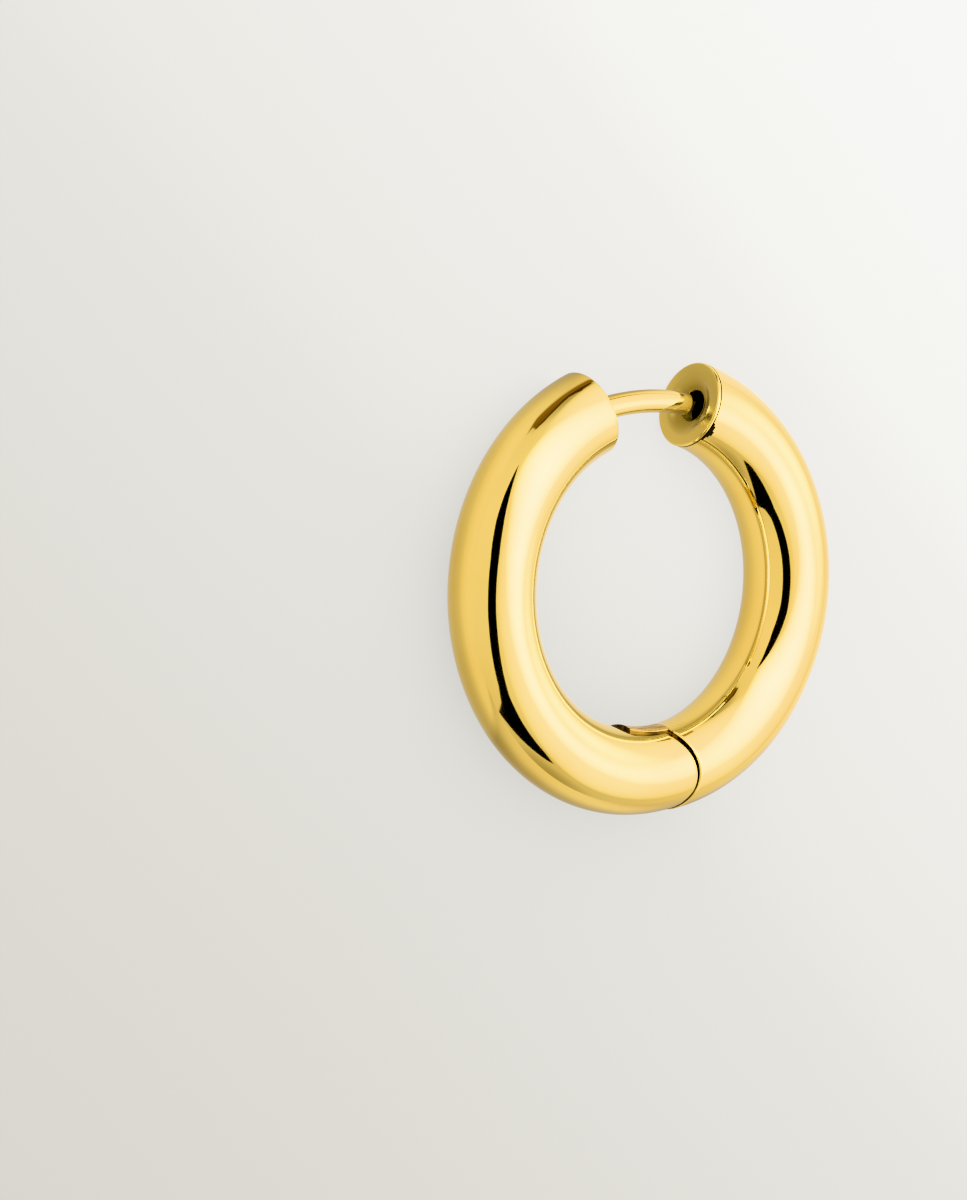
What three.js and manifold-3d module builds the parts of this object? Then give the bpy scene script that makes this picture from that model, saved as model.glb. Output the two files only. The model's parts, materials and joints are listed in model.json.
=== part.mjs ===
// Hinged hoop earring in round tube, lying on its side, in millimetres with +Z up.
//
// The hoop is a hollow ring tube cut in two. The front half holds a curved ear post in its closed
// upper end. The back half takes the tip of the post in a dished socket, and swings outwards on a
// pin near the bottom of the ring. A tongue on the back half reaches into a slot in the front half
// and turns on the pin. The back half is left a little ajar, as when the earring is off.

import * as THREE from 'three';
import { mergeVertices } from 'three/addons/utils/BufferGeometryUtils.js';
import Module from 'manifold-3d';

const wasm = await Module();
wasm.setup();

const degree = Math.PI / 180;

// ---- Driving dimensions ----
// Angles run anticlockwise round the ring from +X, and the ear side is +Y.

const outerDiameter = 20;
const tubeDiameter = 3.8;
const tubeWall = 0.5;

const postEndAngle = 111.5; // where the front half ends, at the post
const socketEndAngle = 78.1; // where the back half ends when shut
const seamAngle = 284.7; // where the halves meet at the hinge
const ajarAngle = 3.5; // how far the back half stands open

const postWire = 1.0;
const postBowRadius = 12.57; // the post is a flatter arc than the ring
const postBowCentre = new THREE.Vector2(0.57, -4.58);
const postTipX = 2.66;
const postInset = 0.25; // how far the post reaches past the closed end, into the tube
const postClearance = 0.06;

const postEndThickness = 0.6; // of the closed ends of the tubes
const socketEndThickness = 0.9;
const hingeEndThickness = 0.75;

const socketHole = 1.4;
const dishDiameter = 2.5;
const dishDepth = 0.22;

const seamBowRadius = 3.0; // of the front half's rounded end, seen along Z
const seamBowOffset = 0.25; // from the tube's centre towards the outside of the ring
const seamReliefRadius = 1.55; // of the same end near the pin, where it is centred on the pin
const seamGap = 0.06;
const seamWedge = 8; // degrees by which the seam's faces part when shut

const pivotOffset = 0.6; // from the tube's centre towards the outside of the ring
const pinDiameter = 0.6;
const pinLength = 3.0;
const pinClearance = 0.04;

const slotWidth = 2.0;
const slotEndX = -1.66;
const slotFloorY = -9.4;
const boreEndAngle = 258; // the front half is solid from here to the seam

const tongueThickness = 1.44;
const tongueHeight = 0.85; // at its free end
const tongueEndAngle = 261.2;
const tongueNose = 0.35;
const knuckleRadius = 0.5; // of the tongue round the pin
const rootOffset = -0.7; // of the tongue's lower edge where it joins the back half's end

// ---- Fineness, and how far cutting shapes run past what they cut ----

const tubeSides = 28;
const smallSides = 16;
const stepAngle = 5;
const overrun = 5;
const margin = 0.4;

// ---- Sizes that follow ----

const tubeRadius = tubeDiameter / 2;
const boreRadius = tubeRadius - tubeWall;
const ringRadius = outerDiameter / 2 - tubeRadius;
const innerRadius = ringRadius - tubeRadius;
const plateThickness = 2 * tubeDiameter;

// ---- Places in the plane of the ring ----

function polar(radius, angle) {
  return new THREE.Vector2(radius * Math.cos(angle * degree), radius * Math.sin(angle * degree));
}

// The angle that a length along the tube's centre line spans.
function spanOf(length) {
  return length / ringRadius / degree;
}

// A point beside the seam, from its distance along the tube towards the back half and its offset
// from the tube's centre towards the outside of the ring.
function atSeam(along, out) {
  const place = polar(ringRadius + out, seamAngle);
  return place.addScaledVector(polar(1, seamAngle + 90), along);
}

// Points on an arc beside the seam. Its angles run from the along direction to the out direction.
function seamArc(centre, radius, from, to) {
  const points = [];
  for (let i = 0; i <= smallSides; i++) {
    const angle = from + ((to - from) * i) / smallSides;
    points.push(atSeam(centre.x + radius * Math.cos(angle), centre.y + radius * Math.sin(angle)));
  }
  return points;
}

// An arc in the plane of the ring, run anticlockwise.
class RingArc extends THREE.Curve {
  constructor(centre, radius, start, end) {
    super();
    Object.assign(this, { centre, radius, start, end });
  }

  getPoint(t) {
    const point = polar(this.radius, this.start + (this.end - this.start) * t).add(this.centre);
    return new THREE.Vector3(point.x, point.y, 0);
  }
}

// ---- Solids ----

// A closed three.js geometry as a solid that can be joined and cut.
function solidOf(geometry) {
  const bare = geometry.clone();
  bare.deleteAttribute('normal');
  bare.deleteAttribute('uv');
  const merged = mergeVertices(bare, 1e-5);
  const vertProperties = new Float32Array(merged.attributes.position.array);
  const triVerts = new Uint32Array(merged.index.array);
  return new wasm.Manifold(new wasm.Mesh({ numProp: 3, vertProperties, triVerts }));
}

function geometryOf(solid) {
  const mesh = solid.getMesh();
  const geometry = new THREE.BufferGeometry();
  geometry.setAttribute('position', new THREE.BufferAttribute(mesh.vertProperties, mesh.numProp));
  geometry.setIndex(new THREE.BufferAttribute(mesh.triVerts, 1));
  geometry.computeVertexNormals();
  return geometry;
}

// A round bar bent along an arc. A round shape gets two flats for each of its curveSegments.
function bentBar(radius, arc, sides) {
  const section = new THREE.Shape();
  section.absarc(0, 0, radius, 0, 2 * Math.PI);
  const steps = Math.ceil((arc.end - arc.start) / stepAngle);
  const options = { curveSegments: sides / 2, steps, extrudePath: arc, bevelEnabled: false };
  return solidOf(new THREE.ExtrudeGeometry(section, options));
}

function ringBar(radius, start, end) {
  return bentBar(radius, new RingArc(new THREE.Vector2(), ringRadius, start, end), tubeSides);
}

// A round bar along the post's own arc, between two places across the ear side.
function postBar(radius, startX, endX) {
  const angleAt = (x) => Math.acos((x - postBowCentre.x) / postBowRadius) / degree;
  const arc = new RingArc(postBowCentre, postBowRadius, angleAt(endX), angleAt(startX));
  return bentBar(radius, arc, smallSides);
}

// A plate with an outline in the plane of the ring, centred on the ring's mid-plane.
function plate(points, thickness) {
  const options = { depth: thickness, bevelEnabled: false };
  const geometry = new THREE.ExtrudeGeometry(new THREE.Shape(points), options);
  return solidOf(geometry.translate(0, 0, -thickness / 2));
}

// A round bar along Z, centred on the ring's mid-plane at the pin.
function pinBar(radius, length) {
  const geometry = new THREE.CylinderGeometry(radius, radius, length, smallSides);
  geometry.rotateX(Math.PI / 2);
  return solidOf(geometry.translate(pin.x, pin.y, 0));
}

// Turns a solid about the pin. A positive angle opens the hoop.
function swung(solid, angle) {
  return solid.translate([-pin.x, -pin.y, 0]).rotate([0, 0, -angle]).translate([pin.x, pin.y, 0]);
}

// ---- The seam ----

// The front half ends in an arc bowed towards the back half. Nearer the outside of the ring a
// tighter arc runs on smoothly from it. That one is centred on the pin, so that the back half
// can swing round it.
const bowCentre = new THREE.Vector2(-seamBowRadius, seamBowOffset);
const centreDistance = seamBowRadius - seamReliefRadius;
const joinAngle = Math.asin((pivotOffset - seamBowOffset) / centreDistance);
const pinAlong = bowCentre.x + centreDistance * Math.cos(joinAngle);
const pivot = new THREE.Vector2(pinAlong, pivotOffset);
const pin = atSeam(pivot.x, pivot.y);

// What the front half may fill beside the seam, grown by a gap.
function frontSide(gap) {
  const bow = seamBowRadius + gap;
  const relief = seamReliefRadius + gap;
  const inward = -tubeRadius - margin;
  const bowStart = Math.asin((inward - seamBowOffset) / bow);
  const points = [
    ...seamArc(bowCentre, bow, bowStart, joinAngle),
    ...seamArc(pivot, relief, joinAngle, Math.PI / 2),
    atSeam(-overrun, pivotOffset + relief),
    atSeam(-overrun, inward),
  ];
  return plate(points, plateThickness);
}

// ---- The front half and its post ----

function slot() {
  const half = slotWidth / 2;
  const outline = new THREE.Shape();
  outline.moveTo(overrun, -half);
  outline.lineTo(overrun, half);
  outline.lineTo(slotEndX + half, half);
  outline.absarc(slotEndX + half, 0, half, Math.PI / 2, 1.5 * Math.PI);
  const options = { depth: overrun, curveSegments: smallSides / 2, bevelEnabled: false };
  const geometry = new THREE.ExtrudeGeometry(outline, options);
  geometry.rotateX(Math.PI / 2);
  return solidOf(geometry.translate(0, slotFloorY + overrun, 0));
}

function makeFrontHoop() {
  const solidPart = ringBar(tubeRadius, postEndAngle, seamAngle - 2 * overrun);
  const seamPart = ringBar(tubeRadius, seamAngle - 3 * overrun, seamAngle + overrun);
  const bore = ringBar(boreRadius, postEndAngle + spanOf(postEndThickness), boreEndAngle);
  const rootX = polar(ringRadius, postEndAngle).x;
  const postHole = postBar(postWire / 2 + postClearance, rootX - 1, rootX + 1);
  const pinHole = pinBar(pinDiameter / 2 + pinClearance, pinLength + 2 * pinClearance);
  const whole = solidPart.add(seamPart.intersect(frontSide(0)));
  return whole.subtract(bore).subtract(slot()).subtract(postHole).subtract(pinHole);
}

function makeEarPost() {
  const rootX = polar(ringRadius, postEndAngle).x;
  return postBar(postWire / 2, rootX - postEndThickness - postInset, postTipX);
}

// ---- The back half ----

// The dish and its hole, turned about the tube's own direction at the end face.
function socket() {
  const hole = socketHole / 2;
  const dish = dishDiameter / 2;
  const beyond = socketEndThickness + margin;
  const profile = [new THREE.Vector2(0, -margin), new THREE.Vector2(dish, -margin)];
  const dishSteps = smallSides / 2;
  for (let i = 0; i <= dishSteps; i++) {
    const share = i / dishSteps;
    const depth = dishDepth * Math.sin((share * Math.PI) / 2);
    profile.push(new THREE.Vector2(dish + (hole - dish) * share, depth));
  }
  profile.push(new THREE.Vector2(hole, beyond), new THREE.Vector2(0, beyond));
  const place = polar(ringRadius, socketEndAngle);
  const geometry = new THREE.LatheGeometry(profile, tubeSides);
  geometry.rotateZ((socketEndAngle + 180) * degree);
  return solidOf(geometry.translate(place.x, place.y, 0));
}

// Follows the inside of the ring from the back half's end to a rounded nose, then comes back below
// to the knuckle and up again to the end.
function tongue() {
  const top = innerRadius - margin;
  const points = [];
  for (let angle = seamAngle + spanOf(hingeEndThickness); angle > tongueEndAngle; angle -= stepAngle) {
    points.push(polar(top, angle));
  }
  points.push(polar(top, tongueEndAngle));
  for (let i = 0; i <= smallSides; i++) {
    const turn = ((i / smallSides) * Math.PI) / 2;
    const down = tongueHeight - tongueNose * (1 - Math.sin(turn));
    const back = spanOf(tongueNose * (1 - Math.cos(turn)));
    points.push(polar(innerRadius + down, tongueEndAngle + back));
  }
  points.push(...seamArc(pivot, knuckleRadius, 1.1 * Math.PI, 0));
  points.push(atSeam(hingeEndThickness, rootOffset));
  const reach = ringBar(tubeRadius, tongueEndAngle - overrun, seamAngle + 2 * overrun);
  return plate(points, tongueThickness).intersect(reach);
}

function makeBackHoop() {
  const end = socketEndAngle + 360;
  const tube = ringBar(tubeRadius, seamAngle - 2 * overrun, end);
  const boreStart = seamAngle + spanOf(hingeEndThickness);
  const bore = ringBar(boreRadius, boreStart, end - spanOf(socketEndThickness));
  const seamSide = swung(frontSide(seamGap), seamWedge);
  const pinHole = pinBar(pinDiameter / 2 + pinClearance, tubeDiameter);
  const shell = tube.subtract(seamSide).subtract(bore).subtract(socket());
  return swung(shell.add(tongue()).subtract(pinHole), ajarAngle);
}

// ---- The assembly ----

const polishedGold = { color: 0xe3bd62, metalness: 1, roughness: 0.12 };
const drawnSteel = { color: 0xb9b7b2, metalness: 1, roughness: 0.3 };

function piece(name, solid, finish) {
  const mesh = new THREE.Mesh(geometryOf(solid), new THREE.MeshStandardMaterial(finish));
  mesh.name = name;
  return mesh;
}

const group = new THREE.Group();
group.add(piece('front_hoop', makeFrontHoop(), polishedGold));
group.add(piece('ear_post', makeEarPost(), polishedGold));
group.add(piece('back_hoop', makeBackHoop(), polishedGold));
group.add(piece('hinge_pin', pinBar(pinDiameter / 2, pinLength), drawnSteel));

// The origin is the middle of the assembly's footprint, at the surface that it lies on.
const box = new THREE.Box3().setFromObject(group);
const middle = box.getCenter(new THREE.Vector3());
group.position.set(-middle.x, -middle.y, -box.min.z);

export default group;
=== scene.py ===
import json
import math

import bmesh
import bpy
from mathutils import Matrix, Vector


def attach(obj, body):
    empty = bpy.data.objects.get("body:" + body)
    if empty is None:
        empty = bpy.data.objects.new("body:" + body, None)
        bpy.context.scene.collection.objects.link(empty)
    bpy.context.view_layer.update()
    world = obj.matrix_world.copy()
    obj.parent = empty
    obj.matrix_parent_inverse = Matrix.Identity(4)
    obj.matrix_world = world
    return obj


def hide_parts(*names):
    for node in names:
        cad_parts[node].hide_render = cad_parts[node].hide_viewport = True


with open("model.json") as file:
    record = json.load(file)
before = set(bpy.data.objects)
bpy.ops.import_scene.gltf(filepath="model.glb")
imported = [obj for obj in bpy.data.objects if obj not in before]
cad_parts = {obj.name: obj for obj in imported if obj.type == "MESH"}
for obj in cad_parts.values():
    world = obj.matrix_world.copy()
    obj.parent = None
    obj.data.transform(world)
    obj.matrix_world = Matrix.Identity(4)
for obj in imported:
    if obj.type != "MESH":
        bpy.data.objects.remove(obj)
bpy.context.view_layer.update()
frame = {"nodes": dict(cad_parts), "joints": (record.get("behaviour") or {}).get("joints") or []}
mm = 0.001
print("frame loaded:", ", ".join(sorted(frame["nodes"])))

# The ring, shared by both halves. Angles run anticlockwise from +X, and the ear side is +Y.
ring = {
    "middleRadius": 8.1 * mm,  # of the tube's centre line
    "tubeRadius": 1.9 * mm,
    "wall": 0.5 * mm,
    "postEnd": 111.5,
    "socketEnd": 78.1,  # when shut
    "seam": 284.7,
    "sides": 96,  # round the tube
    "step": 0.75,  # degrees between sections along the tube
    "boreSides": 48,
    "boreStep": 2.5,
    "seamRim": 0.07 * mm,  # rounding of the ends that meet at the hinge
    "rim": 0.1 * mm,  # rounding of the ends that close on the ear
}
rim, tube = ring["rim"], ring["tubeRadius"]
hinge = frame["joints"][0]
pinPlace = Vector(hinge["pos_m"])
ajar = math.radians(-hinge["range_deg"][0])  # the rest pose is this far from shut
roundedEdge = ((0.13, 0.5), (0.5, 0.13))  # corners of a small rounding, as shares of its radius
creaseAngle = math.radians(32)  # edges sharper than this stay sharp


# Small helpers

def polar(radius, angle):
    return Vector((radius * math.cos(angle), radius * math.sin(angle), 0))


def spanOf(length):
    # The degrees round the ring that a length along the tube takes.
    return math.degrees(length / ring["middleRadius"])


def angleRound(local):
    # Degrees round the ring, of a place measured from its centre.
    return math.degrees(math.atan2(local.y, local.x)) % 360


def turnRoundTube(local):
    # Radians round the tube, from its side away from the ring's centre.
    return math.atan2(local.z, local.xy.length - ring["middleRadius"])


def selectNothing():
    if bpy.context.mode != "OBJECT":
        bpy.ops.object.mode_set(mode="OBJECT")
    bpy.ops.object.select_all(action="DESELECT")


def selectPiece(piece):
    selectNothing()
    piece.select_set(True)
    bpy.context.view_layer.objects.active = piece


def openForEditing(piece, mode="VERT"):
    selectPiece(piece)
    bpy.ops.object.mode_set(mode="EDIT")
    bpy.ops.mesh.select_mode(type=mode)
    bpy.ops.mesh.select_all(action="DESELECT")
    return bmesh.from_edit_mesh(piece.data)


def placeInMesh(name):
    # The new primitive's place goes into its mesh, and its object to the origin.
    piece = bpy.context.object
    piece.name = piece.data.name = name
    bpy.ops.object.transform_apply(location=True, rotation=True, scale=True)
    return piece


def fillOpenEnds():
    bpy.ops.mesh.select_all(action="DESELECT")
    bpy.ops.mesh.select_non_manifold()
    bpy.ops.mesh.edge_face_add()


def faceOutwards():
    bpy.ops.mesh.select_all(action="SELECT")
    bpy.ops.mesh.normals_make_consistent(inside=False)


def cutWith(piece, cutter):
    selectPiece(piece)
    cut = piece.modifiers.new("cut", "BOOLEAN")
    cut.object, cut.operation, cut.solver = cutter, "DIFFERENCE", "EXACT"
    bpy.ops.object.modifier_apply(modifier=cut.name)
    bpy.data.objects.remove(cutter)


def finishPiece(piece, body, nodes):
    openForEditing(piece)
    bpy.ops.mesh.select_all(action="SELECT")
    bpy.ops.mesh.remove_doubles(threshold=0.001 * mm)
    faceOutwards()
    selectPiece(piece)
    bpy.ops.object.shade_smooth_by_angle(angle=creaseAngle)
    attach(piece, body)
    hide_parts(*nodes)
    print("made", piece.name, "with", len(piece.data.polygons), "faces")


# The seam between the halves. Places beside it are along the tube towards the back half, and out
# from the tube's centre line towards the outside of the ring.
seam = {
    "bowRadius": 3.0 * mm,
    "bowOut": 0.25 * mm,
    "reliefRadius": 1.55 * mm,  # round the pin
    "pinOut": 0.6 * mm,
    "gap": 0.06 * mm,
    "wedge": math.radians(8),  # by which the back half's end leans away when shut
    "reach": (math.radians(-9), math.radians(14)),  # the ends' faces lie between these, round the ring
    "blend": math.radians(14),  # of the tube that is drawn on to the seam
    "endLoops": (0.93, 0.84, 0.72, 0.58, 0.44, 0.3, 0.16, 0.05),  # across an end, as shares of its radius
}
seamAngle = math.radians(ring["seam"])
joinAngle = math.asin((seam["pinOut"] - seam["bowOut"]) / (seam["bowRadius"] - seam["reliefRadius"]))
pinAlong = (seam["bowRadius"] - seam["reliefRadius"]) * math.cos(joinAngle) - seam["bowRadius"]


def besideSeam(along, out):
    return polar(ring["middleRadius"] + out, seamAngle) + polar(along, seamAngle + math.pi / 2)


pinInRing = besideSeam(pinAlong, seam["pinOut"])
frontCentre = pinPlace - pinInRing  # the ring's centre, for the front half


def beyondFrontEnd(place, gap, lean):
    # How far a place in the ring's plane lies beyond the front half's end, grown by a gap and
    # leaned back about the pin.
    turned = Matrix.Rotation(lean, 3, "Z") @ (place - pinInRing) + pinInRing
    local = turned - polar(ring["middleRadius"], seamAngle)
    out = local.dot(polar(1, seamAngle))
    along = local.dot(polar(1, seamAngle + math.pi / 2))
    fromPin = Vector((along - pinAlong, out - seam["pinOut"]))
    if math.atan2(fromPin.y, max(fromPin.x, 1e-9)) > joinAngle:
        return fromPin.length - seam["reliefRadius"] - gap
    fromBow = Vector((along + seam["bowRadius"], out - seam["bowOut"]))
    return fromBow.length - seam["bowRadius"] - gap


def seamAt(radius, gap, lean):
    # The angle round the ring where the seam's face crosses a circle of that radius.
    low, high = (seamAngle + reach for reach in seam["reach"])
    for halving in range(40):
        middle = (low + high) / 2
        if beyondFrontEnd(polar(radius, middle), gap, lean) > 0:
            high = middle
        else:
            low = middle
    return (low + high) / 2


# The tube of each half

def spinTube(name, start, end, radius, sides, step):
    # A tube along the ring with open ends, left in edit mode.
    selectNothing()
    bpy.ops.mesh.primitive_circle_add(
        vertices=sides, radius=radius, fill_type="NOTHING", rotation=(math.pi / 2, 0, math.radians(start)),
        location=frontCentre + polar(ring["middleRadius"], math.radians(start)),
    )
    bar = placeInMesh(name)
    openForEditing(bar, "EDGE")
    bpy.ops.mesh.select_all(action="SELECT")
    bpy.ops.mesh.spin(
        steps=math.ceil(abs(end - start) / step), angle=math.radians(end - start), center=frontCentre,
        axis=(0, 0, -1),
    )
    return bar


def addHalf(name, start, end):
    return spinTube(name, start, end, tube, ring["sides"], ring["step"])


def cutBore(piece, start, end):
    # Hollows the tube between two angles.
    bore = spinTube("bore", start, end, tube - ring["wall"], ring["boreSides"], ring["boreStep"])
    bpy.ops.mesh.edge_face_add()
    fillOpenEnds()
    faceOutwards()
    cutWith(piece, bore)


def selectEndLoop(mesh, angle):
    # Selects the open edges nearest an angle round the ring.
    toEnd = polar(1, math.radians(angle))
    nearness = math.cos(math.radians(12))
    for edge in mesh.edges:
        if len(edge.link_faces) == 1:
            middle = (edge.verts[0].co + edge.verts[1].co) / 2 - frontCentre
            middle.z = 0
            edge.select_set(middle.normalized().dot(toEnd) > nearness)


def closeFlatEnd(piece, angle, towards, start, profile):
    # Runs the open loop at a flat end inwards through (radius, depth) pairs and fills it.
    # The depth is measured into the metal, and the open loop is at the depth start.
    # towards is +1 where the metal lies anticlockwise of the end, and -1 where clockwise.
    mesh = openForEditing(piece, "EDGE")
    selectEndLoop(mesh, angle)
    bmesh.update_edit_mesh(piece.data)
    centre = frontCentre + polar(ring["middleRadius"], math.radians(angle))
    inwards = math.radians(angle + 90 * towards)
    lastRadius, lastDepth = tube, start
    for radius, depth in profile:
        bpy.ops.mesh.extrude_edges_move(TRANSFORM_OT_translate={"value": polar(depth - lastDepth, inwards)})
        share = radius / lastRadius
        bpy.ops.transform.resize(value=(share,) * 3, center_override=centre + polar(depth, inwards))
        lastRadius, lastDepth = radius, depth
    bpy.ops.mesh.edge_face_add()
    bpy.ops.object.mode_set(mode="OBJECT")


def roundedRim():
    turns = [i / 6 * math.pi / 2 for i in range(1, 7)]
    return [(tube - rim * (1 - math.cos(turn)), rim * (1 - math.sin(turn))) for turn in turns]


def shapeSeamEnd(piece, towards, gap, lean):
    # Draws the tube's end on to the seam's face, then closes it with loops that lie on that face.
    # towards is +1 for the half that ends at the seam and -1 for the half that starts there.
    mesh = openForEditing(piece, "EDGE")
    for vert in mesh.verts:
        local = vert.co - frontCentre
        flat, angle = local.xy.length, math.atan2(local.y, local.x) % (2 * math.pi)
        short = (seamAngle - angle) * towards / seam["blend"]
        if -0.01 < short < 1:
            short = max(short, 0)
            goal = seamAt(flat, gap, lean) - towards * ring["seamRim"] / flat
            moved = angle + (goal - seamAngle) * (1 - short) ** 2 * (1 + 2 * short)
            vert.co = frontCentre + polar(flat, moved) + Vector((0, 0, local.z))
    bmesh.update_edit_mesh(piece.data)
    selectEndLoop(mesh, ring["seam"])
    loops = [(tube - ring["seamRim"] * a, ring["seamRim"] * b) for a, b in (*roundedEdge, (1, 0))]
    loops += [(tube * share, 0) for share in seam["endLoops"]]
    for radius, back in loops:
        bpy.ops.mesh.extrude_edges_move()
        mesh = bmesh.from_edit_mesh(piece.data)
        for vert in [v for v in mesh.verts if v.select]:
            turn = turnRoundTube(vert.co - frontCentre)
            flat = ring["middleRadius"] + radius * math.cos(turn)
            angle = seamAt(flat, gap, lean) - towards * back / flat
            vert.co = frontCentre + polar(flat, angle) + Vector((0, 0, radius * math.sin(turn)))
        bmesh.update_edit_mesh(piece.data)
    bpy.ops.mesh.edge_face_add()
    bpy.ops.object.mode_set(mode="OBJECT")


def swingOpen(piece):
    # Turns a piece drawn for the shut hoop about the pin to where it rests.
    openForEditing(piece)
    bpy.ops.mesh.select_all(action="SELECT")
    bpy.ops.transform.rotate(value=ajar, orient_axis="Z", center_override=pinPlace)
    bpy.ops.object.mode_set(mode="OBJECT")


# Front half
front = {
    "postHole": 0.56 * mm,  # radius
    "postHoleDepth": 0.9 * mm,
    "postWall": 0.6 * mm,
    # Loops across the flat end, down to the hole's softened mouth, as radius and depth.
    "endLoops": [
        (1.5 * mm, 0), (1.2 * mm, 0), (0.62 * mm, 0), (0.575 * mm, 0.02 * mm), (0.56 * mm, 0.06 * mm),
    ],
    "boreEnd": 258,  # solid from here to the seam
    "slotHalf": 1.0 * mm,
    "slotEndX": -1.66 * mm,
    "slotFloorY": -9.4 * mm,
    "cutterHeight": 5 * mm,
    "cutterRun": 6 * mm,  # from the slot's round end to beyond the seam
    "pinHole": 0.34 * mm,
    "pinHoleDepth": 3.08 * mm,
}


def drillForPin(piece, depth):
    selectNothing()
    bpy.ops.mesh.primitive_cylinder_add(vertices=32, radius=front["pinHole"], depth=depth, location=pinPlace)
    cutWith(piece, placeInMesh("drill"))


frontHoop = addHalf("frontHoop", ring["postEnd"] + spanOf(rim), ring["seam"])
closeFlatEnd(frontHoop, ring["postEnd"], 1, rim, [
    *roundedRim(), *front["endLoops"], (front["postHole"], front["postHoleDepth"]),
])
shapeSeamEnd(frontHoop, 1, 0, 0)
cutBore(frontHoop, ring["postEnd"] + spanOf(front["postWall"]), front["boreEnd"])

selectNothing()
bpy.ops.mesh.primitive_cylinder_add(
    vertices=64, radius=front["slotHalf"], depth=front["cutterHeight"], rotation=(math.pi / 2, 0, 0),
    location=frontCentre + Vector((
        front["slotEndX"] + front["slotHalf"], front["slotFloorY"] + front["cutterHeight"] / 2, 0,
    )),
)
slotCutter = placeInMesh("slotCutter")
mesh = openForEditing(slotCutter, "FACE")
for face in mesh.faces:
    face.select_set(abs(face.normal.y) < 0.5 and face.normal.x > 1e-4)
bmesh.update_edit_mesh(slotCutter.data)
bpy.ops.mesh.extrude_region_move(TRANSFORM_OT_translate={"value": (front["cutterRun"], 0, 0)})
bpy.ops.object.mode_set(mode="OBJECT")
cutWith(frontHoop, slotCutter)
drillForPin(frontHoop, front["pinHoleDepth"])
finishPiece(frontHoop, "front", ["front_hoop"])


# Back half, with the hinge's tongue
back = {
    "endWall": 0.75 * mm,  # at the hinge
    "socketWall": 0.9 * mm,
    "socketHole": 0.7 * mm,  # radius
    "socketHoleDepth": 1.3 * mm,
    "flatLoop": 1.62 * mm,  # radius of a loop that keeps the end flat outside its dish
    "dish": 1.45 * mm,
    "dishDepth": 0.22 * mm,
    "lip": 0.09 * mm,  # rounding of the hole's mouth
    # Painted shade in the socket's dish round its hole: its brown, its reach and how strong it is.
    "dishShadeTone": "#8a6a2c",
    "dishShadeReach": (0.75 * mm, 1.45 * mm),  # round the hole, where the dish is given painted shade
    "dishShadeShare": 0.65,
    "capLine": (0.12 * mm, 0.2 * mm),  # a fine line where the cap was soldered on, from the end
    "capLineDepth": 0.06 * mm,
    "fluxTurn": 126,  # where flux has gathered in that line, round the tube
    "fluxSpread": 18,  # degrees to either side
    "fluxWidth": 0.34 * mm,
    "satinDepth": 1.25 * mm,  # how far in from the end the plate is unpolished
}
tongue = {
    "half": 0.72 * mm,  # of its thickness
    "height": 0.85 * mm,
    "end": 261.2,
    "nose": 0.35 * mm,
    "knuckle": 0.5 * mm,
    "knuckleTurn": 1.1 * math.pi,  # how far it goes round the pin
    "rootOut": -0.7 * mm,
    "edge": 0.05 * mm,  # rounding of its long edges
    "rubbedDepth": 0.02 * mm,  # how far its rubbed face runs over those edges
}
lineStart, lineEnd = back["capLine"]

backHoop = addHalf("backHoop", ring["seam"], ring["socketEnd"] + 360 - spanOf(lineEnd))
dishProfile, lip = [], []
lipEdge = back["socketHole"] + back["lip"]
for i in range(17):
    share = i / 16
    radius = back["dish"] + (lipEdge - back["dish"]) * share
    dishProfile.append((radius, back["dishDepth"] * (3 - 2 * share) * share ** 2))
for i in range(1, 6):
    turn = i / 5 * math.pi / 2
    depth = back["dishDepth"] + back["lip"] * (1 - math.cos(turn))
    lip.append((lipEdge - back["lip"] * math.sin(turn), depth))
lineFloor = tube - back["capLineDepth"]
closeFlatEnd(backHoop, ring["socketEnd"], -1, lineEnd, [
    (lineFloor, lineEnd), (lineFloor, lineStart), (tube, lineStart), (tube, rim), *roundedRim(),
    (back["flatLoop"], 0), *dishProfile, *lip, (back["socketHole"], back["socketHoleDepth"]),
])
shapeSeamEnd(backHoop, -1, seam["gap"], seam["wedge"])
cutBore(
    backHoop, ring["seam"] + spanOf(back["endWall"]), ring["socketEnd"] + 360 - spanOf(back["socketWall"]),
)
swingOpen(backHoop)


def tongueOutline():
    # Corners in the ring's plane, and whether each lies on the ring's own inner surface.
    inner = ring["middleRadius"] - tube
    corners = []
    first = ring["seam"] + spanOf(back["endWall"])
    for i in range(25):
        corners.append((polar(inner, math.radians(first + (tongue["end"] - first) * i / 24)), True))
    for i in range(1, 13):
        turn = i / 12 * math.pi / 2
        down = tongue["height"] - tongue["nose"] * (1 - math.sin(turn))
        backwards = tongue["nose"] * (1 - math.cos(turn)) / ring["middleRadius"]
        corners.append((polar(inner + down, math.radians(tongue["end"]) + backwards), False))
    for i in range(17):
        turn = tongue["knuckleTurn"] * (1 - i / 16)
        along = pinAlong + tongue["knuckle"] * math.cos(turn)
        corners.append((besideSeam(along, seam["pinOut"] + tongue["knuckle"] * math.sin(turn)), False))
    corners.append((besideSeam(back["endWall"], tongue["rootOut"]), False))
    return corners


def neighboursOf(vert):
    return [edge.other_vert(vert) for edge in vert.link_edges]


corners = tongueOutline()
intoTongue = []  # at each corner, square to the outline
for i in range(len(corners)):
    along = (corners[(i + 1) % len(corners)][0] - corners[i - 1][0]).normalized()
    intoTongue.append(Vector((-along.y, along.x, 0)))
half, edge = tongue["half"], tongue["edge"]
# Slices through its thickness, as the height and how far the outline is drawn in.
slices = [(-half, edge)] + [(-half + a * edge, b * edge) for a, b in roundedEdge]
slices += [(-(half - edge) * (1 - i / 6), 0) for i in range(13)]
slices += [(-height, inset) for height, inset in reversed(slices[:3])]

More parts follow.
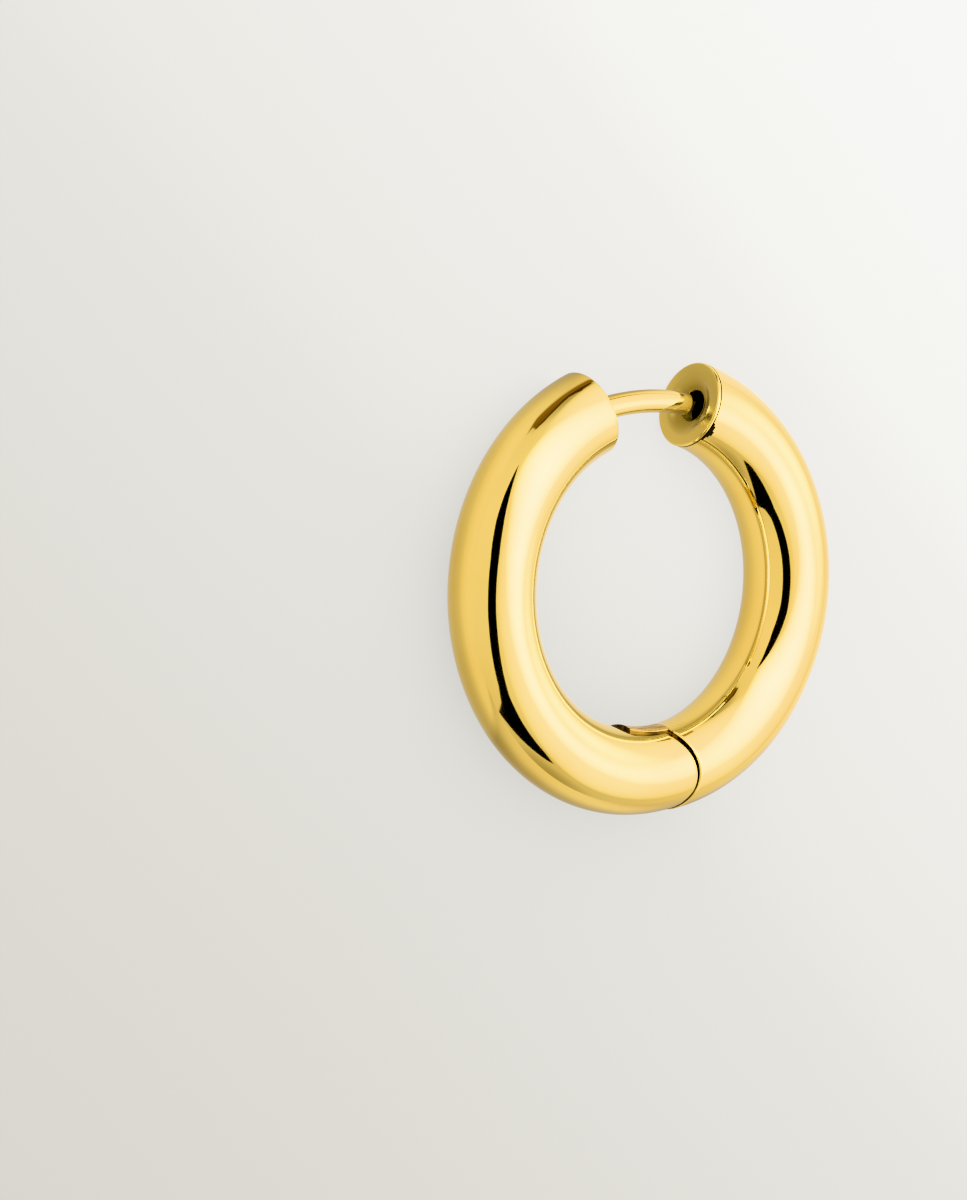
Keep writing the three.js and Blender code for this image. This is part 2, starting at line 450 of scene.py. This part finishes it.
selectNothing()
bpy.ops.mesh.primitive_circle_add(vertices=len(corners), radius=half, fill_type="NOTHING", location=pinPlace)
tonguePiece = placeInMesh("tongue")
openForEditing(tonguePiece, "EDGE")
bpy.ops.mesh.select_all(action="SELECT")
loop = list(range(len(corners)))
for number, (height, inset) in enumerate(slices):
    if number:
        bpy.ops.mesh.extrude_edges_move()
    mesh = bmesh.from_edit_mesh(tonguePiece.data)
    mesh.verts.index_update()
    mesh.verts.ensure_lookup_table()
    if number:
        loop = [next(v.index for v in neighboursOf(mesh.verts[i]) if v.select) for i in loop]
    for i, (corner, onRing), inwards in zip(loop, corners, intoTongue):
        place = corner + inwards * inset
        if onRing:
            radius = ring["middleRadius"] - math.sqrt(tube ** 2 - height ** 2) + inset
            place = corner.normalized() * radius
        mesh.verts[i].co = frontCentre + place + Vector((0, 0, height))
    bmesh.update_edit_mesh(tonguePiece.data)
fillOpenEnds()
faceOutwards()
drillForPin(tonguePiece, 4 * half)
swingOpen(tonguePiece)
selectPiece(backHoop)
tonguePiece.select_set(True)
bpy.ops.object.join()
finishPiece(backHoop, "back", ["back_hoop"])


# Ear post
post = {
    "wire": 0.5 * mm,  # radius
    "bow": 12.57 * mm,  # a flatter arc than the ring's
    "bowCentre": (0.57 * mm, -4.58 * mm),
    "tipX": 2.66 * mm,
    "rootPast": 0.85 * mm,  # how far it runs into the front half
    "tipRound": 0.22 * mm,
}
bowCentre = frontCentre + Vector((*post["bowCentre"], 0))


def postAngle(x):
    return math.acos((x - post["bowCentre"][0]) / post["bow"])


rootAngle = postAngle(polar(ring["middleRadius"], math.radians(ring["postEnd"])).x - post["rootPast"])
tipAngle = postAngle(post["tipX"]) + post["tipRound"] / post["bow"]
selectNothing()
bpy.ops.mesh.primitive_circle_add(
    vertices=64, radius=post["wire"], fill_type="NOTHING",
    location=bowCentre + polar(post["bow"], rootAngle), rotation=(math.pi / 2, 0, rootAngle),
)
earPost = placeInMesh("earPost")
openForEditing(earPost, "EDGE")
bpy.ops.mesh.select_all(action="SELECT")
bpy.ops.mesh.spin(steps=72, angle=tipAngle - rootAngle, center=bowCentre, axis=(0, 0, -1))
tipCentre = bowCentre + polar(post["bow"], tipAngle)
onwards = tipAngle - math.pi / 2
lastRadius, lastDepth = post["wire"], 0
for i in range(1, 7):
    turn = i / 6 * math.pi / 2
    depth = post["tipRound"] * math.sin(turn)
    radius = post["wire"] - post["tipRound"] * (1 - math.cos(turn))
    bpy.ops.mesh.extrude_edges_move(TRANSFORM_OT_translate={"value": polar(depth - lastDepth, onwards)})
    share = radius / lastRadius
    bpy.ops.transform.resize(value=(share,) * 3, center_override=tipCentre + polar(depth, onwards))
    lastRadius, lastDepth = radius, depth
bpy.ops.mesh.edge_face_add()
fillOpenEnds()
bpy.ops.object.mode_set(mode="OBJECT")
finishPiece(earPost, "front", ["ear_post"])


# Hinge pin
pin = {
    "radius": 0.3 * mm,
    "length": 3.0 * mm,
    "chamfer": 0.05 * mm,
    "tone": "#c9c7c2",
    "lines": (0.03 * mm, 1.5 * mm),  # of the drawing die, across and along
    "lineHeight": 0.0015 * mm,
}
selectNothing()
bpy.ops.mesh.primitive_cylinder_add(vertices=48, radius=pin["radius"], depth=pin["length"], location=pinPlace)
hingePin = placeInMesh("hingePin")
mesh = openForEditing(hingePin, "FACE")
for face in mesh.faces:
    face.select_set(abs(face.normal.z) > 0.9)
bmesh.update_edit_mesh(hingePin.data)
bpy.ops.mesh.region_to_loop()
bpy.ops.mesh.bevel(offset=pin["chamfer"], segments=3, affect="EDGES")
bpy.ops.object.mode_set(mode="OBJECT")
finishPiece(hingePin, "front", ["hinge_pin"])


# Finishes

def linearColour(code):
    parts = [int(code[i:i + 2], 16) / 255 for i in (1, 3, 5)]
    return [p / 12.92 if p <= 0.04045 else ((p + 0.055) / 1.055) ** 2.4 for p in parts] + [1]


def addNode(material, kind, settings=None, values=None, links=None):
    # Adds one node, sets its properties and its sockets, and links (node, output) into inputs.
    node = material.node_tree.nodes.new("ShaderNode" + kind)
    for name, value in (settings or {}).items():
        setattr(node, name, value)
    for name, value in (values or {}).items():
        node.inputs[name].default_value = value
    for name, (source, output) in (links or {}).items():
        material.node_tree.links.new(source.outputs[output], node.inputs[name])
    return node


def linkInto(material, node, sources):
    for socket, (source, output) in sources.items():
        material.node_tree.links.new(source.outputs[output], node.inputs[socket])


def setStops(ramp, tones):
    stops = ramp.color_ramp.elements
    while len(stops) < len(tones):
        stops.new(0.5)
    for stop, (share, code) in zip(stops, tones):
        stop.position, stop.color = share, linearColour(code)


def newFinish(name, values):
    material = bpy.data.materials.new(name)
    material.use_nodes = True
    shader = material.node_tree.nodes["Principled BSDF"]
    for socket, value in values.items():
        shader.inputs[socket].default_value = value
    return material, shader


def newLitPaint(name):
    # A material with no shader yet, for the cards.
    paint = bpy.data.materials.new(name)
    paint.use_nodes = True
    paint.node_tree.nodes.remove(paint.node_tree.nodes["Principled BSDF"])
    return paint, paint.node_tree.nodes["Material Output"]


def giveFinishes(piece, *finishes):
    piece.data.materials.clear()
    for finish in finishes:
        piece.data.materials.append(finish)


# Gold electroplate on brass, tumbled and then buffed on a soft wheel: a near mirror, faintly
# wavy from the wheel, with hairlines that run round the ring.
gold = {
    "colour": "#ffdd80",
    "thinner": "#fbd475",  # where the wheel took more off
    "patches": 5 * mm,
    "mirrored": "#e1ddce",  # the tint of its image in other gold, which would turn orange
    "waves": 2.4 * mm,
    "waveHeight": 0.009 * mm,
    "hairline": 0.07 * mm,  # a few times too wide, so that it shows
    "hairRun": 0.6 * mm,  # per radian round the ring, so they are long and fine
    "hairlineHeight": 0.0003 * mm,
    "buffed": (0.035, 0.075),  # roughness
    "satin": (0.18, 0.26),
    "matt": (0.42, 0.55),
}


def newGold(name, roughness, hairlineHeight):
    material, shader = newFinish(name, {"Metallic": 1.0})
    place = addNode(material, "TexCoord")
    centred = addNode(material, "Mapping", values={"Location": -frontCentre},
                      links={"Vector": (place, "Object")})
    patches = addNode(material, "TexNoise", values={"Scale": 1 / gold["patches"], "Detail": 2.0},
                      links={"Vector": (centred, "Vector")})
    thin = addNode(material, "MapRange", values={"From Min": 0.35, "From Max": 0.7},
                   links={"Value": (patches, "Fac")})
    path = addNode(material, "LightPath")
    plate = addNode(material, "Mix", {"data_type": "RGBA"}, links={0: (thin, 0)}, values={
        6: linearColour(gold["colour"]), 7: linearColour(gold["thinner"]),
    })
    tinted = addNode(material, "Mix", {"data_type": "RGBA"}, values={7: linearColour(gold["mirrored"])},
                     links={0: (path, "Is Glossy Ray"), 6: (plate, 2)})
    # Hairlines lie round the ring: their place is its radius, its height and a little of the angle.
    parts = addNode(material, "SeparateXYZ", links={0: (centred, "Vector")})
    flat = addNode(material, "CombineXYZ", links={"X": (parts, "X"), "Y": (parts, "Y")})
    outwards = addNode(material, "VectorMath", {"operation": "LENGTH"}, links={0: (flat, 0)})
    turn = addNode(material, "Math", {"operation": "ARCTAN2"}, links={0: (parts, "Y"), 1: (parts, "X")})
    slowTurn = addNode(material, "Math", {"operation": "MULTIPLY"}, links={0: (turn, 0)},
                       values={1: gold["hairRun"]})
    alongRing = addNode(material, "CombineXYZ",
                        links={"X": (outwards, "Value"), "Y": (parts, "Z"), "Z": (slowTurn, 0)})
    # The noise starts four hairlines wide and halves from there.
    hairs = addNode(material, "TexNoise", links={"Vector": (alongRing, "Vector")}, values={
        "Scale": 1 / gold["hairline"] / 4, "Detail": 3.0, "Roughness": 0.65,
    })
    dull = addNode(material, "MapRange", links={"Value": (hairs, "Fac")}, values={
        "From Min": 0.3, "From Max": 0.75, "To Min": roughness[0], "To Max": roughness[1],
    })
    swell = addNode(material, "TexNoise", values={"Scale": 1 / gold["waves"], "Detail": 1.0},
                    links={"Vector": (centred, "Vector")})
    wavy = addNode(material, "Bump", values={"Strength": 1.0, "Distance": gold["waveHeight"]},
                   links={"Height": (swell, "Fac")})
    lined = addNode(material, "Bump", values={"Strength": 1.0, "Distance": hairlineHeight},
                    links={"Height": (hairs, "Fac"), "Normal": (wavy, 0)})
    linkInto(material, shader, {"Base Color": (tinted, 2), "Roughness": (dull, 0), "Normal": (lined, 0)})
    return material


goldPlate = newGold("buffedGoldPlate", gold["buffed"], gold["hairlineHeight"])
# The socket's hole and the hinge's slot are as the tool left them, so the plate there is matt.
mattGold = newGold("mattGoldPlate", gold["matt"], 0)
# The socket's face is plated but never reaches the wheel, so it stays satin. Round its
# hole, across the dish, its colour is browned as painted shade.
satinGold = newGold("satinGoldPlate", gold["satin"], gold["hairlineHeight"])
socketEnd = math.radians(ring["socketEnd"])
socketMiddle = frontCentre + polar(ring["middleRadius"], socketEnd)
socketMiddle = Matrix.Rotation(-ajar, 3, "Z") @ (socketMiddle - pinPlace) + pinPlace
place = addNode(satinGold, "TexCoord")
fromHole = addNode(satinGold, "VectorMath", {"operation": "DISTANCE"}, values={1: socketMiddle},
                   links={0: (place, "Object")})
# Painted shade: the plate turns brown towards the hole, across the dish.
dishShaded = addNode(satinGold, "MapRange", links={"Value": (fromHole, "Value")}, values={
    "From Min": back["dishShadeReach"][0], "From Max": back["dishShadeReach"][1],
    "To Min": back["dishShadeShare"], "To Max": 0,
})
shader = satinGold.node_tree.nodes["Principled BSDF"]
plate = shader.inputs["Base Color"].links[0].from_node
dishShadedPlate = addNode(satinGold, "Mix", {"data_type": "RGBA"}, values={7: linearColour(back["dishShadeTone"])},
                  links={0: (dishShaded, 0), 6: (plate, 2)})
linkInto(satinGold, shader, {"Base Color": (dishShadedPlate, 2)})
# Flux and polish left in the line round the socket's cap: black and dull.
blackenedFlux, shader = newFinish("blackenedFlux", {
    "Base Color": linearColour("#120b05"), "Roughness": 0.8, "Specular IOR Level": 0.15,
})
# The hinge's tongue is filed to shape and plated thinly over the brass. It is duller than the
# tubes, with file marks along its length. Its face inside the ring is gold between brown marks.
# The rest of it, which sits in the front half's slot, is given painted shade: brown with a few gold marks.
filed = {
    "roughness": 0.36,
    "across": 0.12 * mm,  # from mark to mark
    "along": 1.3 * mm,
    "markHeight": 0.005 * mm,
    "rubbed": [(0.3, "#8c6526"), (0.58, "#e2bb6a")],
    # Painted shade for the tongue's faces that sit in the slot, with its file marks.
    "inSlotShade": [(0.4, "#2a1b0c"), (0.8, "#7c5a28")],
}


def newFiledGold(name, tones):
    material, shader = newFinish(name, {"Metallic": 1.0, "Roughness": filed["roughness"]})
    place = addNode(material, "TexCoord")
    drawnOut = addNode(material, "Mapping", links={"Vector": (place, "Object")}, values={
        "Scale": (1 / filed["along"], 1 / filed["across"], 1 / filed["across"]),
    })
    marks = addNode(material, "TexNoise", values={"Scale": 1.0, "Detail": 2.0, "Distortion": 0.3},
                    links={"Vector": (drawnOut, "Vector")})
    tone = addNode(material, "ValToRGB", links={"Fac": (marks, "Fac")})
    setStops(tone, tones)
    scored = addNode(material, "Bump", values={"Distance": filed["markHeight"]},
                     links={"Height": (marks, "Fac")})
    linkInto(material, shader, {"Base Color": (tone, "Color"), "Normal": (scored, 0)})
    return material


filedGold = newFiledGold("filedGoldPlate", filed["rubbed"])
slotShadedBrass = newFiledGold("filedBrassPaintedShade", filed["inSlotShade"])
giveFinishes(frontHoop, goldPlate, mattGold)
giveFinishes(backHoop, goldPlate, satinGold, filedGold, mattGold, blackenedFlux, slotShadedBrass)
giveFinishes(earPost, goldPlate)

# Each face takes its finish by its place, the back half's as in the shut hoop.
nearly = 0.01 * mm  # a face this near a surface is on it
tongueStart = ring["seam"] - 3.2  # the back half's faces below this angle are the tongue's
for face in backHoop.data.polygons:
    shut = Matrix.Rotation(ajar, 3, "Z") @ (face.center - pinPlace) + pinPlace - frontCentre
    angle = angleRound(shut)
    short = (socketEnd - math.radians(angle)) * ring["middleRadius"]  # of the socket's end
    across = math.hypot(shut.xy.length - ring["middleRadius"], shut.z)
    if 180 < angle < tongueStart:
        # The tongue's face inside the ring is gold, and its faces in the slot take the painted shade.
        face.material_index = 2 if across > tube - tongue["rubbedDepth"] else 5
    elif angle < 90 and short < back["satinDepth"] and across < tube - rim:
        inHole = across < back["socketHole"] + nearly and short > back["dishDepth"] + back["lip"]
        face.material_index = 3 if inHole else 1
    elif angle < 90 and rim < short:
        fromFlux = abs(math.degrees(turnRoundTube(shut)) % 360 - back["fluxTurn"])
        gathered = back["fluxWidth"] * max(0, 1 - fromFlux / back["fluxSpread"])
        inLine = short < lineEnd and across < tube - nearly
        if inLine or lineEnd < short < lineEnd + gathered:
            face.material_index = 4
for face in frontHoop.data.polygons:
    local = face.center - frontCentre
    angle = angleRound(local)
    inside = math.hypot(local.xy.length - ring["middleRadius"], local.z) < tube - nearly
    onSeamEnd = angle >= 270 and face.normal.x >= 0.6  # polished, where it meets the back half
    if inside and angle > front["boreEnd"] - 1 and not onSeamEnd:
        face.material_index = 1

# Drawn and straightened stainless wire: grey, with lines along its length.
pinSteel, shader = newFinish("drawnPinSteel", {"Base Color": linearColour(pin["tone"]), "Metallic": 1.0})
lineAcross, lineAlong = pin["lines"]
place = addNode(pinSteel, "TexCoord")
drawn = addNode(pinSteel, "Mapping", values={"Scale": (1 / lineAcross, 1 / lineAcross, 1 / lineAlong)},
                links={"Vector": (place, "Object")})
lines = addNode(pinSteel, "TexNoise", values={"Scale": 1.0, "Detail": 2.0},
                links={"Vector": (drawn, "Vector")})
dull = addNode(pinSteel, "MapRange", values={"To Min": 0.2, "To Max": 0.36}, links={"Value": (lines, "Fac")})
ridged = addNode(pinSteel, "Bump", values={"Distance": pin["lineHeight"]}, links={"Height": (lines, "Fac")})
linkInto(pinSteel, shader, {"Roughness": (dull, 0), "Normal": (ridged, 0)})
giveFinishes(hingePin, pinSteel)
print("finishes given")


# The floor is a matt card whose tone is graded as painted light and shade, lighter towards its far right
# corner. Most of its brightness is its own, as with a sheet that is lit from behind, so that the hoop's
# shadow stays faint.
sheet = {
    "side": 1.2,
    "length": 189.6 * mm,  # of the whole grade
    "middle": 0.629,
    "turn": -46.6,
    "glow": 0.72,
    "glowStrength": 1.73,
    "tones": [
        (0.0, "#dcdad6"), (0.3, "#c4c2bd"), (0.4, "#b6b4ae"), (0.5, "#bcbab5"), (0.6, "#c3c2be"),
        (0.632, "#cac9c5"), (0.7, "#d6d5d2"), (0.724, "#e3e3e0"), (0.8, "#f7f7f6"), (1.0, "#fafaf9"),
    ],
}
selectNothing()
bpy.ops.mesh.primitive_plane_add(size=sheet["side"], location=(0, 0, 0))
floor = placeInMesh("floor")
paper, shader = newFinish("matteCardPaintedLight", {"Roughness": 0.9, "Specular IOR Level": 0.1})
place = addNode(paper, "TexCoord")
along = addNode(paper, "Mapping", links={"Vector": (place, "Object")}, values={
    "Location": (sheet["middle"], 0, 0), "Rotation": (0, 0, math.radians(sheet["turn"])),
    "Scale": (1 / sheet["length"],) * 3,
})
# Painted light: this grade across the floor stands in for light falling off.
grade = addNode(paper, "TexGradient", links={"Vector": (along, "Vector")})
tone = addNode(paper, "ValToRGB", links={"Fac": (grade, "Fac")})
setStops(tone, sheet["tones"])
glow = addNode(paper, "Emission", values={"Strength": sheet["glowStrength"]},
               links={"Color": (tone, "Color")})
blend = addNode(paper, "MixShader", values={"Fac": sheet["glow"]}, links={1: (shader, 0), 2: (glow, 0)})
linkInto(paper, shader, {"Base Color": (tone, "Color")})
linkInto(paper, paper.node_tree.nodes["Material Output"], {"Surface": (blend, 0)})
giveFinishes(floor, paper)

# Cards stand round the hoop and are seen only in its reflections. Their places are directions from
# the hoop: side is measured round from straight up towards +X, and lift towards +Y, in degrees.
cardDistance = 450 * mm


def facing(side, lift):
    side, lift = math.radians(side), math.radians(lift)
    return Vector((math.cos(lift) * math.sin(side), math.sin(lift), math.cos(lift) * math.cos(side)))


def cardAxes(side, lift, turn):
    direction = facing(side, lift)
    right = Vector((0, 1, 0)).cross(direction).normalized()
    spun = Matrix.Rotation(math.radians(turn), 3, direction)
    return spun @ right, spun @ direction.cross(right), direction


def placeFrom(right, up, direction, place):
    # The matrix that stands an object at a place, with its X, Y and Z along three directions.
    rows = [(right[i], up[i], direction[i], place[i]) for i in range(3)]
    return Matrix((*rows, (0, 0, 0, 1)))


def hideFromCamera(card):
    card.visible_camera = card.visible_diffuse = card.visible_shadow = False


def standCard(card, side, lift, turn, distance):
    right, up, direction = cardAxes(side, lift, turn)
    card.matrix_world = placeFrom(right, up, direction, direction * distance + Vector((0, 0, tube)))
    hideFromCamera(card)


def addFlag(name, side, lift, outline, strength, colour="#ffffff", distance=cardDistance):
    # A dark card cut to an outline of directions.
    right, up, direction = cardAxes(side, lift, 0)
    selectNothing()
    bpy.ops.mesh.primitive_circle_add(vertices=len(outline), radius=distance, fill_type="NGON")
    flag = placeInMesh(name)
    for vert, corner in zip(flag.data.vertices, outline):
        ray = facing(*corner)
        vert.co = Vector((ray.dot(right), ray.dot(up), 0)) / ray.dot(direction) * distance
    paint, output = newLitPaint(name + "Felt")
    dark = addNode(paint, "Emission", values={"Strength": strength, "Color": linearColour(colour)})
    linkInto(paint, output, {"Surface": (dark, 0)})
    giveFinishes(flag, paint)
    standCard(flag, side, lift, 0, distance)


def addSoftbox(name, side, lift, width, height, turn, strength, distance=cardDistance, colour="#ffffff"):
    # A lit cloth that fades out towards its rim. Width and height are in degrees, seen from the hoop.
    across, up = (distance * math.tan(math.radians(size / 2)) for size in (width, height))
    selectNothing()
    bpy.ops.mesh.primitive_plane_add(size=2)
    bpy.ops.transform.resize(value=(across, up, 1))
    cloth = placeInMesh(name)
    paint, output = newLitPaint(name + "Cloth")
    corners = addNode(paint, "UVMap")
    centred = addNode(paint, "Mapping", values={"Location": (-1, -1, 0), "Scale": (2, 2, 1)},
                      links={"Vector": (corners, "UV")})
    fade = addNode(paint, "TexGradient", {"gradient_type": "SPHERICAL"},
                   links={"Vector": (centred, "Vector")})
    lit = addNode(paint, "Emission", values={"Strength": strength, "Color": linearColour(colour)})
    clear = addNode(paint, "BsdfTransparent")
    both = addNode(paint, "MixShader", links={"Fac": (fade, "Fac"), 1: (clear, 0), 2: (lit, 0)})
    linkInto(paint, output, {"Surface": (both, 0)})
    giveFinishes(cloth, paint)
    standCard(cloth, side, lift, turn, distance)


# The camera's stand, black, as a post with a wide foot.
addFlag("cameraStand", -42, -10, [
    (-49, 48), (-36, 24), (-29, 8), (-29, -16), (-32, -40), (-24, -49), (-5, -58), (2, -64), (-8, -67),
    (-52, -67.5), (-76, -61), (-88, -55), (-62, -49), (-53, -40), (-50, -16), (-50, 8), (-55, 24), (-54, 34),
], strength=0)
# A brown card over the ear side with a darker edge, and another low on the right.
addFlag("earSideEdge", -60, 80, [
    (-65, 68), (-52, 72), (-42, 78), (-27, 83.3), (0, 85.5), (27, 83.3), (35, 80), (49, 80.8), (72, 78.5),
    (90, 78), (107, 79.6), (135, 84.3), (180, 85), (-142, 81.8), (-125, 77.8), (-115, 74.6), (-104, 69.4),
], strength=0.07, colour="#ffb070")
addFlag("earSideCard", -60, 80, [
    (-72, 69), (-62, 74), (-58, 80.6), (-63, 86.6), (135, 88.6), (104, 81.8), (111, 81.5), (180, 85.8),
    (-138, 82.6), (-119, 78.6), (-100, 69.7),
], strength=0.2, colour="#ffd090", distance=440 * mm)
addFlag("lowBrownCard", 85, 57, [
    (64, 66), (80, 68), (105, 66), (125, 56), (125, 44), (105, 43), (90, 46), (80, 52), (70, 58),
], strength=0.5, colour="#ffe0b0")
addSoftbox("softboxWide", 32, 8, width=114, height=144, turn=0, strength=3.2)
# Two lit cloths close over the hoop's right, for the creamy cores along both tubes.
close = {"distance": 100 * mm, "colour": "#f2ffe2"}
addSoftbox("softboxClose", 11, 15, width=108, height=52, turn=-48, strength=12, **close)
addSoftbox("softboxRight", 60, 10, width=46, height=40, turn=0, strength=7, **close)

# A glowing sheet just over the floor, seen only in the hoop's reflections, painted with the floor's shade: a
# painted contact shadow, darkest where the tube touches down, by distance from the tube's middle, and further
# out painted light and shade by direction from the ring.
mirroredFloorShade = {
    "above": 0.03 * mm,  # the floor
    # The painted shadow is set a little towards the lower left, away from the light.
    "centre": (-0.5 * mm, -0.35 * mm),
    "radius": 9.0 * mm,
    "span": 40 * mm,  # shares of the near tones are of this
    "strength": 2.4,
    # Painted contact shadow, by distance from the tube's middle.
    "contactShadowTones": [
        (0, "#c5c4c1"), (0.035, "#c5c4c1"), (0.06, "#cecdca"), (0.09, "#dfdedb"), (0.13, "#f1efec"),
        (0.2, "#fcfaf7"), (0.26, "#fffdfa"),
    ],
    "middle": "#b8b7b4",
    "far": (7.8 * mm, 10.5 * mm),  # from the ring's middle, where the tones by direction take over
    # Painted light and shade by direction round the ring.
    "paintedToneByTurn": [
        (0, "#b8b7b4"), (0.111, "#a9a8a5"), (0.125, "#92918f"), (0.161, "#9e9d9b"), (0.278, "#abaaa8"),
        (0.331, "#969593"), (0.4, "#aaa8a6"), (0.444, "#d8d7d4"), (0.5, "#c9c8c5"), (0.556, "#cecdca"),
        (0.617, "#faf9f5"), (0.644, "#f6f5f1"), (0.711, "#a5a4a1"), (0.783, "#9e9d9b"),
        (0.861, "#bfbebb"), (1, "#b8b7b4"),
    ],
    # A painted brown shade on the ear side, between shares of the way round and from these distances on.
    "earSide": [(0.7, "#000000"), (0.712, "#ffffff"), (0.814, "#ffffff"), (0.821, "#000000")],
    "earSidePaintedShade": "#5c4b34",
    "earSideFrom": (21 * mm, 31 * mm),
}


def inSpans(*lengths):
    return [length / mirroredFloorShade["span"] for length in lengths]


selectNothing()
bpy.ops.mesh.primitive_plane_add(size=sheet["side"], location=(0, 0, mirroredFloorShade["above"]))
# The sheet with the painted shade glows and is hidden from the camera, from diffuse light and from shadows.
paintedShadeSheet = placeInMesh("paintedShadeSheet")
shade, output = newLitPaint("paintedShadeSheetPaint")
centreX, centreY, radius = inSpans(*mirroredFloorShade["centre"], mirroredFloorShade["radius"])
place = addNode(shade, "TexCoord")
centred = addNode(shade, "Mapping", links={"Vector": (place, "Object")}, values={
    "Location": (-centreX, -centreY, 0), "Scale": (*inSpans(1, 1), 0),
})
fromCentre = addNode(shade, "VectorMath", {"operation": "LENGTH"}, links={"Vector": (centred, "Vector")})
offTube = addNode(shade, "Math", {"operation": "SUBTRACT"}, values={1: radius},
                  links={0: (fromCentre, "Value")})
eitherSide = addNode(shade, "Math", {"operation": "ABSOLUTE"}, links={0: (offTube, 0)})
# Painted contact shadow round the tube.
near = addNode(shade, "ValToRGB", links={"Fac": (eitherSide, 0)})
setStops(near, mirroredFloorShade["contactShadowTones"])
aroundRing = addNode(shade, "TexGradient", {"gradient_type": "RADIAL"}, links={"Vector": (centred, "Vector")})
byTurn = addNode(shade, "ValToRGB", links={"Fac": (aroundRing, "Fac")})
setStops(byTurn, mirroredFloorShade["paintedToneByTurn"])
farFrom, farTo = inSpans(*mirroredFloorShade["far"])
outside = addNode(shade, "MapRange", values={"From Min": farFrom, "From Max": farTo},
                  links={"Value": (fromCentre, "Value")})
sheetTone = addNode(shade, "Mix", {"data_type": "RGBA"}, values={6: linearColour(mirroredFloorShade["middle"])},
                    links={0: (outside, 0), 7: (byTurn, "Color")})
earSector = addNode(shade, "ValToRGB", links={"Fac": (aroundRing, "Fac")})
setStops(earSector, mirroredFloorShade["earSide"])
earFrom, earTo = inSpans(*mirroredFloorShade["earSideFrom"])
farEnough = addNode(shade, "MapRange", values={"From Min": earFrom, "From Max": earTo},
                    links={"Value": (fromCentre, "Value")})
inEarSide = addNode(shade, "Math", {"operation": "MULTIPLY"},
                    links={0: (earSector, "Color"), 1: (farEnough, 0)})
# Painted brown shade on the ear side.
earSideShaded = addNode(shade, "Mix", {"data_type": "RGBA"}, values={7: linearColour(mirroredFloorShade["earSidePaintedShade"])},
                  links={0: (inEarSide, 0), 6: (sheetTone, 2)})
both = addNode(shade, "Mix", {"data_type": "RGBA", "blend_type": "MULTIPLY"}, values={0: 1.0},
               links={6: (near, "Color"), 7: (earSideShaded, 2)})
lit = addNode(shade, "Emission", values={"Strength": mirroredFloorShade["strength"]}, links={"Color": (both, 2)})
linkInto(shade, output, {"Surface": (lit, 0)})
giveFinishes(paintedShadeSheet, shade)
hideFromCamera(paintedShadeSheet)
print("set laid")


# Camera, by its direction and distance from the middle of the hoop. It looks a little aside.
view = {
    "across": 40.44,
    "lift": 4.41,
    "roll": 1.33,
    "distance": 263.1 * mm,
    "lens": 181.8,
    "aside": (-0.026139, -0.0018416),  # rightwards and upwards, per length forwards
}
across, lift, roll = (math.radians(view[name]) for name in ("across", "lift", "roll"))
toCamera = Vector((-math.sin(across) * math.cos(lift), math.sin(lift), math.cos(across) * math.cos(lift)))
level = Vector((0, 1, 0)).cross(toCamera).normalized()
upright = toCamera.cross(level)
right = math.cos(roll) * level + math.sin(roll) * upright
up = -math.sin(roll) * level + math.cos(roll) * upright
backwards = (toCamera - view["aside"][0] * right - view["aside"][1] * up).normalized()
right = up.cross(backwards).normalized()
up = backwards.cross(right)
cameraData = bpy.data.cameras.new("camera")
cameraData.lens = view["lens"]
cameraData.sensor_width = 36
cameraData.sensor_fit = "AUTO"
cameraData.clip_start = 10 * mm
camera = bpy.data.objects.new("camera", cameraData)
bpy.context.scene.collection.objects.link(camera)
camera.matrix_world = placeFrom(right, up, backwards, Vector((0, 0, tube)) + toCamera * view["distance"])
bpy.context.scene.camera = camera

# The room's soft light, in tones from the foot's side of the hoop to its ear side.
room = {
    "strength": 1.4,
    "tones": [
        (0.0, "#9a9893"), (0.03, "#bdbbb7"), (0.117, "#cbc9c5"), (0.25, "#d8d7d4"), (0.5, "#e3e3e1"),
        (0.75, "#efefee"), (0.885, "#e4e4e2"), (0.95, "#dad9d7"), (0.985, "#b1b0ac"), (1.0, "#9a9893"),
    ],
}
world = bpy.data.worlds.new("studio")
bpy.context.scene.world = world
world.use_nodes = True
towards = addNode(world, "TexCoord")
byEarSide = addNode(world, "Mapping", links={"Vector": (towards, "Generated")}, values={
    "Location": (0.5, 0, 0), "Rotation": (0, 0, math.radians(-90)), "Scale": (0.5, 0.5, 0.5),
})
grade = addNode(world, "TexGradient", links={"Vector": (byEarSide, "Vector")})
tone = addNode(world, "ValToRGB", links={"Fac": (grade, "Fac")})
setStops(tone, room["tones"])
background = world.node_tree.nodes["Background"]
linkInto(world, background, {"Color": (tone, "Color")})
background.inputs["Strength"].default_value = room["strength"]
# Bright gold stays yellow, and the gold throws no spots of light on the floor.
bpy.context.scene.view_settings.view_transform = "Khronos PBR Neutral"
bpy.context.scene.cycles.caustics_reflective = False
print("camera and room ready")
